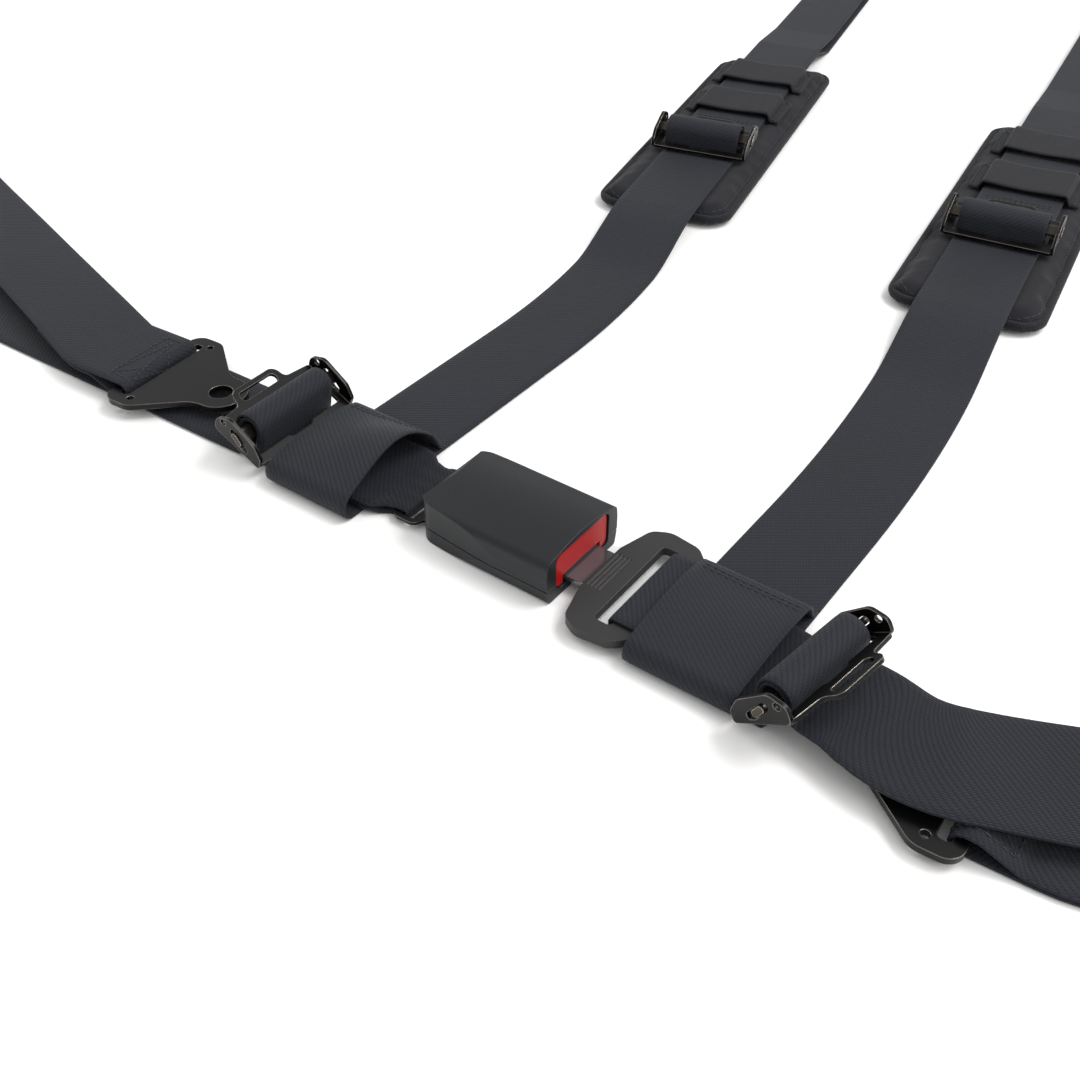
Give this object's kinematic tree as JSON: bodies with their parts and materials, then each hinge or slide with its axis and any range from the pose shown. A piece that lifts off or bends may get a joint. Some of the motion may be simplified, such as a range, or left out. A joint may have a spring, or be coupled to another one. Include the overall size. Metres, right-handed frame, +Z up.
{
  "type": "racing harness",
  "caption": "Shoulder and lap belts of wide webbing joined by a push-button buckle, with three-bar adjusters, shoulder pads and bolt-in anchor plates.",
  "frame": {"origin": "middle of the buckle's underside, which rests on the table", "axes": "+X from the buckle towards the tongue along the lap belts, +Y towards the shoulder belts, +Z up"},
  "size_m": [1.0207, 1.0013, 0.0312],
  "materials": {
    "housing": "satin fine grain moulding",
    "dark_steel": "black oxide with worn bright edges",
    "button": "glossy red moulding",
    "spring_steel": "drawn spring wire",
    "bright_steel": "bright plated steel",
    "bar_steel": "plated steel, worn",
    "dark_plastic": "black acetal",
    "tongue_moulding": "satin grey-black moulding",
    "webbing": "woven polyester webbing, dark grey",
    "pad_fabric": "woven cover with bound edge",
    "foam": "closed cell foam"
  },
  "bodies": {
    "left_half": {"upper_shell": "housing", "lower_shell": "housing", "buckle_frame": "dark_steel", "latch_pin": "bright_steel", "latch_spring": "spring_steel", "button_springs": "spring_steel", "ejector_spring": "spring_steel", "left_lap_belt": "webbing", "left_shoulder_belt": "webbing"},
    "press_button": {"press_button": "button"},
    "ejector": {"ejector": "dark_plastic"},
    "latch_pawl": {"latch_pawl": "bright_steel"},
    "tongue_half": {"tongue_plate": "bright_steel", "tongue_cover": "tongue_moulding", "right_lap_belt": "webbing", "right_shoulder_belt": "webbing", "right_lap_anchor_plate": "dark_steel"},
    "left_lap_adjuster": {"left_lap_adjuster_frame": "dark_steel"},
    "left_lap_slide_bar": {"left_lap_adjuster_slide_bar": "bar_steel"},
    "right_lap_adjuster": {"right_lap_adjuster_frame": "dark_steel"},
    "right_lap_slide_bar": {"right_lap_adjuster_slide_bar": "bar_steel"},
    "left_shoulder_adjuster": {"left_shoulder_adjuster_frame": "dark_steel"},
    "left_shoulder_slide_bar": {"left_shoulder_adjuster_slide_bar": "bar_steel"},
    "right_shoulder_adjuster": {"right_shoulder_adjuster_frame": "dark_steel"},
    "right_shoulder_slide_bar": {"right_shoulder_adjuster_slide_bar": "bar_steel"},
    "left_lap_plate": {"left_lap_anchor_plate": "dark_steel"},
    "left_shoulder_plate": {"left_shoulder_anchor_plate": "dark_steel"},
    "left_pad": {"left_pad_cover": "pad_fabric", "left_pad_foam": "foam", "left_pad_keepers": "webbing"},
    "right_shoulder_plate": {"right_shoulder_anchor_plate": "dark_steel"},
    "right_pad": {"right_pad_cover": "pad_fabric", "right_pad_foam": "foam", "right_pad_keepers": "webbing"}
  },
  "joints": [
    {"name": "button_press", "type": "slide", "parent": "left_half", "child": "press_button", "axis": [1, 0, 0], "range_m": [-0.005, 0], "stiffness_N_per_m": 400, "springref_m": 0.0015, "deforming": ["button_springs"]},
    {"name": "ejector_slide", "type": "slide", "parent": "left_half", "child": "ejector", "axis": [1, 0, 0], "range_m": [-0.008, 0], "stiffness_N_per_m": 350, "springref_m": 0.002, "deforming": ["ejector_spring"]},
    {"name": "pawl_turn", "type": "hinge", "parent": "left_half", "child": "latch_pawl", "pos_m": [-0.01, 0, 0.0145], "axis": [0, 1, 0], "range_deg": [0, 14], "deforming": ["latch_spring"]},
    {"name": "tongue_withdraw", "type": "slide", "parent": "ejector", "child": "tongue_half", "axis": [1, 0, 0], "range_m": [0, 0.045]},
    {"name": "left_lap_adjuster_tilt", "type": "hinge", "parent": "left_half", "child": "left_lap_adjuster", "pos_m": [-0.12996, -0.00244, 0.0173], "axis": [0.0305, -0.9995, 0], "range_deg": [0, 10]},
    {"name": "left_lap_bar_slide", "type": "slide", "parent": "left_lap_adjuster", "child": "left_lap_slide_bar", "axis": [-0.6015, -0.0184, 0.7986], "range_m": [-0.0012, 0.0012]},
    {"name": "right_lap_adjuster_tilt", "type": "hinge", "parent": "tongue_half", "child": "right_lap_adjuster", "pos_m": [0.1409, -0.0084, 0.018], "axis": [0.154, 0.9881, 0], "range_deg": [0, 10]},
    {"name": "right_lap_bar_slide", "type": "slide", "parent": "right_lap_adjuster", "child": "right_lap_slide_bar", "axis": [0.479, -0.0747, 0.8746], "range_m": [-0.0012, 0.0012]},
    {"name": "left_shoulder_adjuster_tilt", "type": "hinge", "parent": "left_half", "child": "left_shoulder_adjuster", "pos_m": [-0.13197, 0.37739, 0.0227], "axis": [-0.9763, -0.2164, 0], "range_deg": [0, 10]},
    {"name": "left_shoulder_bar_slide", "type": "slide", "parent": "left_shoulder_adjuster", "child": "left_shoulder_slide_bar", "axis": [-0.1682, 0.7587, 0.6293], "range_m": [-0.0012, 0.0012]},
    {"name": "right_shoulder_adjuster_tilt", "type": "hinge", "parent": "tongue_half", "child": "right_shoulder_adjuster", "pos_m": [0.06991, 0.36893, 0.0227], "axis": [-0.9903, -0.1392, 0], "range_deg": [0, 10]},
    {"name": "right_shoulder_bar_slide", "type": "slide", "parent": "right_shoulder_adjuster", "child": "right_shoulder_slide_bar", "axis": [-0.1082, 0.7696, 0.6293], "range_m": [-0.0012, 0.0012]},
    {"name": "left_lap_plate_lift", "type": "hinge", "parent": "left_half", "child": "left_lap_plate", "pos_m": [-0.219, -0.0065, 0.0069], "axis": [0.0698, -0.9976, 0], "range_deg": [0, 60]},
    {"name": "left_shoulder_plate_lift", "type": "hinge", "parent": "left_half", "child": "left_shoulder_plate", "pos_m": [-0.24669, 0.89483, 0.005], "axis": [0.9763, 0.2164, 0], "range_deg": [0, 70]},
    {"name": "left_pad_slide", "type": "slide", "parent": "left_half", "child": "left_pad", "axis": [-0.2164, 0.9763, 0], "range_m": [0, 0.015]},
    {"name": "right_shoulder_plate_lift", "type": "hinge", "parent": "tongue_half", "child": "right_shoulder_plate", "pos_m": [-0.00385, 0.89377, 0.005], "axis": [0.9903, 0.1392, 0], "range_deg": [0, 70]},
    {"name": "right_pad_slide", "type": "slide", "parent": "tongue_half", "child": "right_pad", "axis": [-0.1392, 0.9903, 0], "range_m": [0, 0.015]}
  ],
  "couplings": [
    {"joint": "pawl_turn", "follows": "ejector_slide", "rad_per_m": -30}
  ]
}
